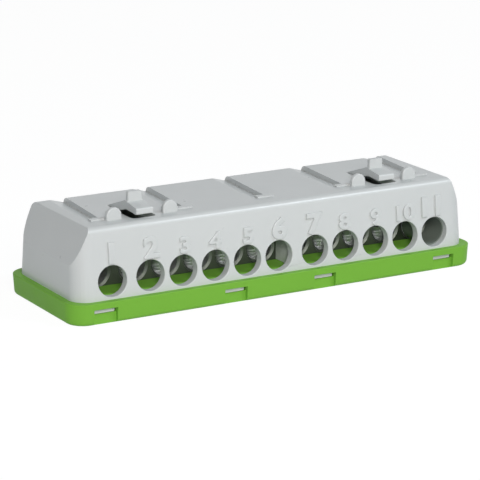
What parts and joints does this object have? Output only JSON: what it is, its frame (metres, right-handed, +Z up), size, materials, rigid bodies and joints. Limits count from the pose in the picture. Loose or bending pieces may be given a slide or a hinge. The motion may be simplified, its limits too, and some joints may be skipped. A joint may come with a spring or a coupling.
{
  "type": "earth terminal bar",
  "caption": "Long grey housing on a green base, with a row of numbered round wire entries, a plated bar and clamp screws inside, and two rail latches on top.",
  "frame": {"origin": "centre of the green base's underside", "axes": "+X along the row from terminal 1 to terminal 11, -Y out of the numbered front with the wire entries, +Z up to the latches"},
  "size_m": [0.1084, 0.0358, 0.0268],
  "materials": {
    "grey_housing": "fine satin",
    "green_base": "fine satin",
    "plated_bar": "nickel plated",
    "steel_screw": "zinc plated"
  },
  "bodies": {
    "housing": {"cover": "grey_housing", "base": "green_base", "bar": "plated_bar"},
    "screw_1": {"screw_1": "steel_screw"},
    "screw_2": {"screw_2": "steel_screw"},
    "screw_3": {"screw_3": "steel_screw"},
    "screw_4": {"screw_4": "steel_screw"},
    "screw_5": {"screw_5": "steel_screw"},
    "screw_6": {"screw_6": "steel_screw"},
    "screw_7": {"screw_7": "steel_screw"},
    "screw_8": {"screw_8": "steel_screw"},
    "screw_9": {"screw_9": "steel_screw"},
    "screw_10": {"screw_10": "steel_screw"},
    "screw_11": {"screw_11": "steel_screw"}
  },
  "joints": [
    {"name": "screw_1_travel", "type": "slide", "parent": "housing", "child": "screw_1", "axis": [0, 0, 1], "range_m": [0, 0.0032]},
    {"name": "screw_2_travel", "type": "slide", "parent": "housing", "child": "screw_2", "axis": [0, 0, 1], "range_m": [0, 0.0032]},
    {"name": "screw_3_travel", "type": "slide", "parent": "housing", "child": "screw_3", "axis": [0, 0, 1], "range_m": [0, 0.0032]},
    {"name": "screw_4_travel", "type": "slide", "parent": "housing", "child": "screw_4", "axis": [0, 0, 1], "range_m": [0, 0.0032]},
    {"name": "screw_5_travel", "type": "slide", "parent": "housing", "child": "screw_5", "axis": [0, 0, 1], "range_m": [0, 0.0032]},
    {"name": "screw_6_travel", "type": "slide", "parent": "housing", "child": "screw_6", "axis": [0, 0, 1], "range_m": [0, 0.0032]},
    {"name": "screw_7_travel", "type": "slide", "parent": "housing", "child": "screw_7", "axis": [0, 0, 1], "range_m": [0, 0.0032]},
    {"name": "screw_8_travel", "type": "slide", "parent": "housing", "child": "screw_8", "axis": [0, 0, 1], "range_m": [0, 0.0032]},
    {"name": "screw_9_travel", "type": "slide", "parent": "housing", "child": "screw_9", "axis": [0, 0, 1], "range_m": [0, 0.0032]},
    {"name": "screw_10_travel", "type": "slide", "parent": "housing", "child": "screw_10", "axis": [0, 0, 1], "range_m": [0, 0.0032]},
    {"name": "screw_11_travel", "type": "slide", "parent": "housing", "child": "screw_11", "axis": [0, 0, 1], "range_m": [0, 0.0032]}
  ]
}
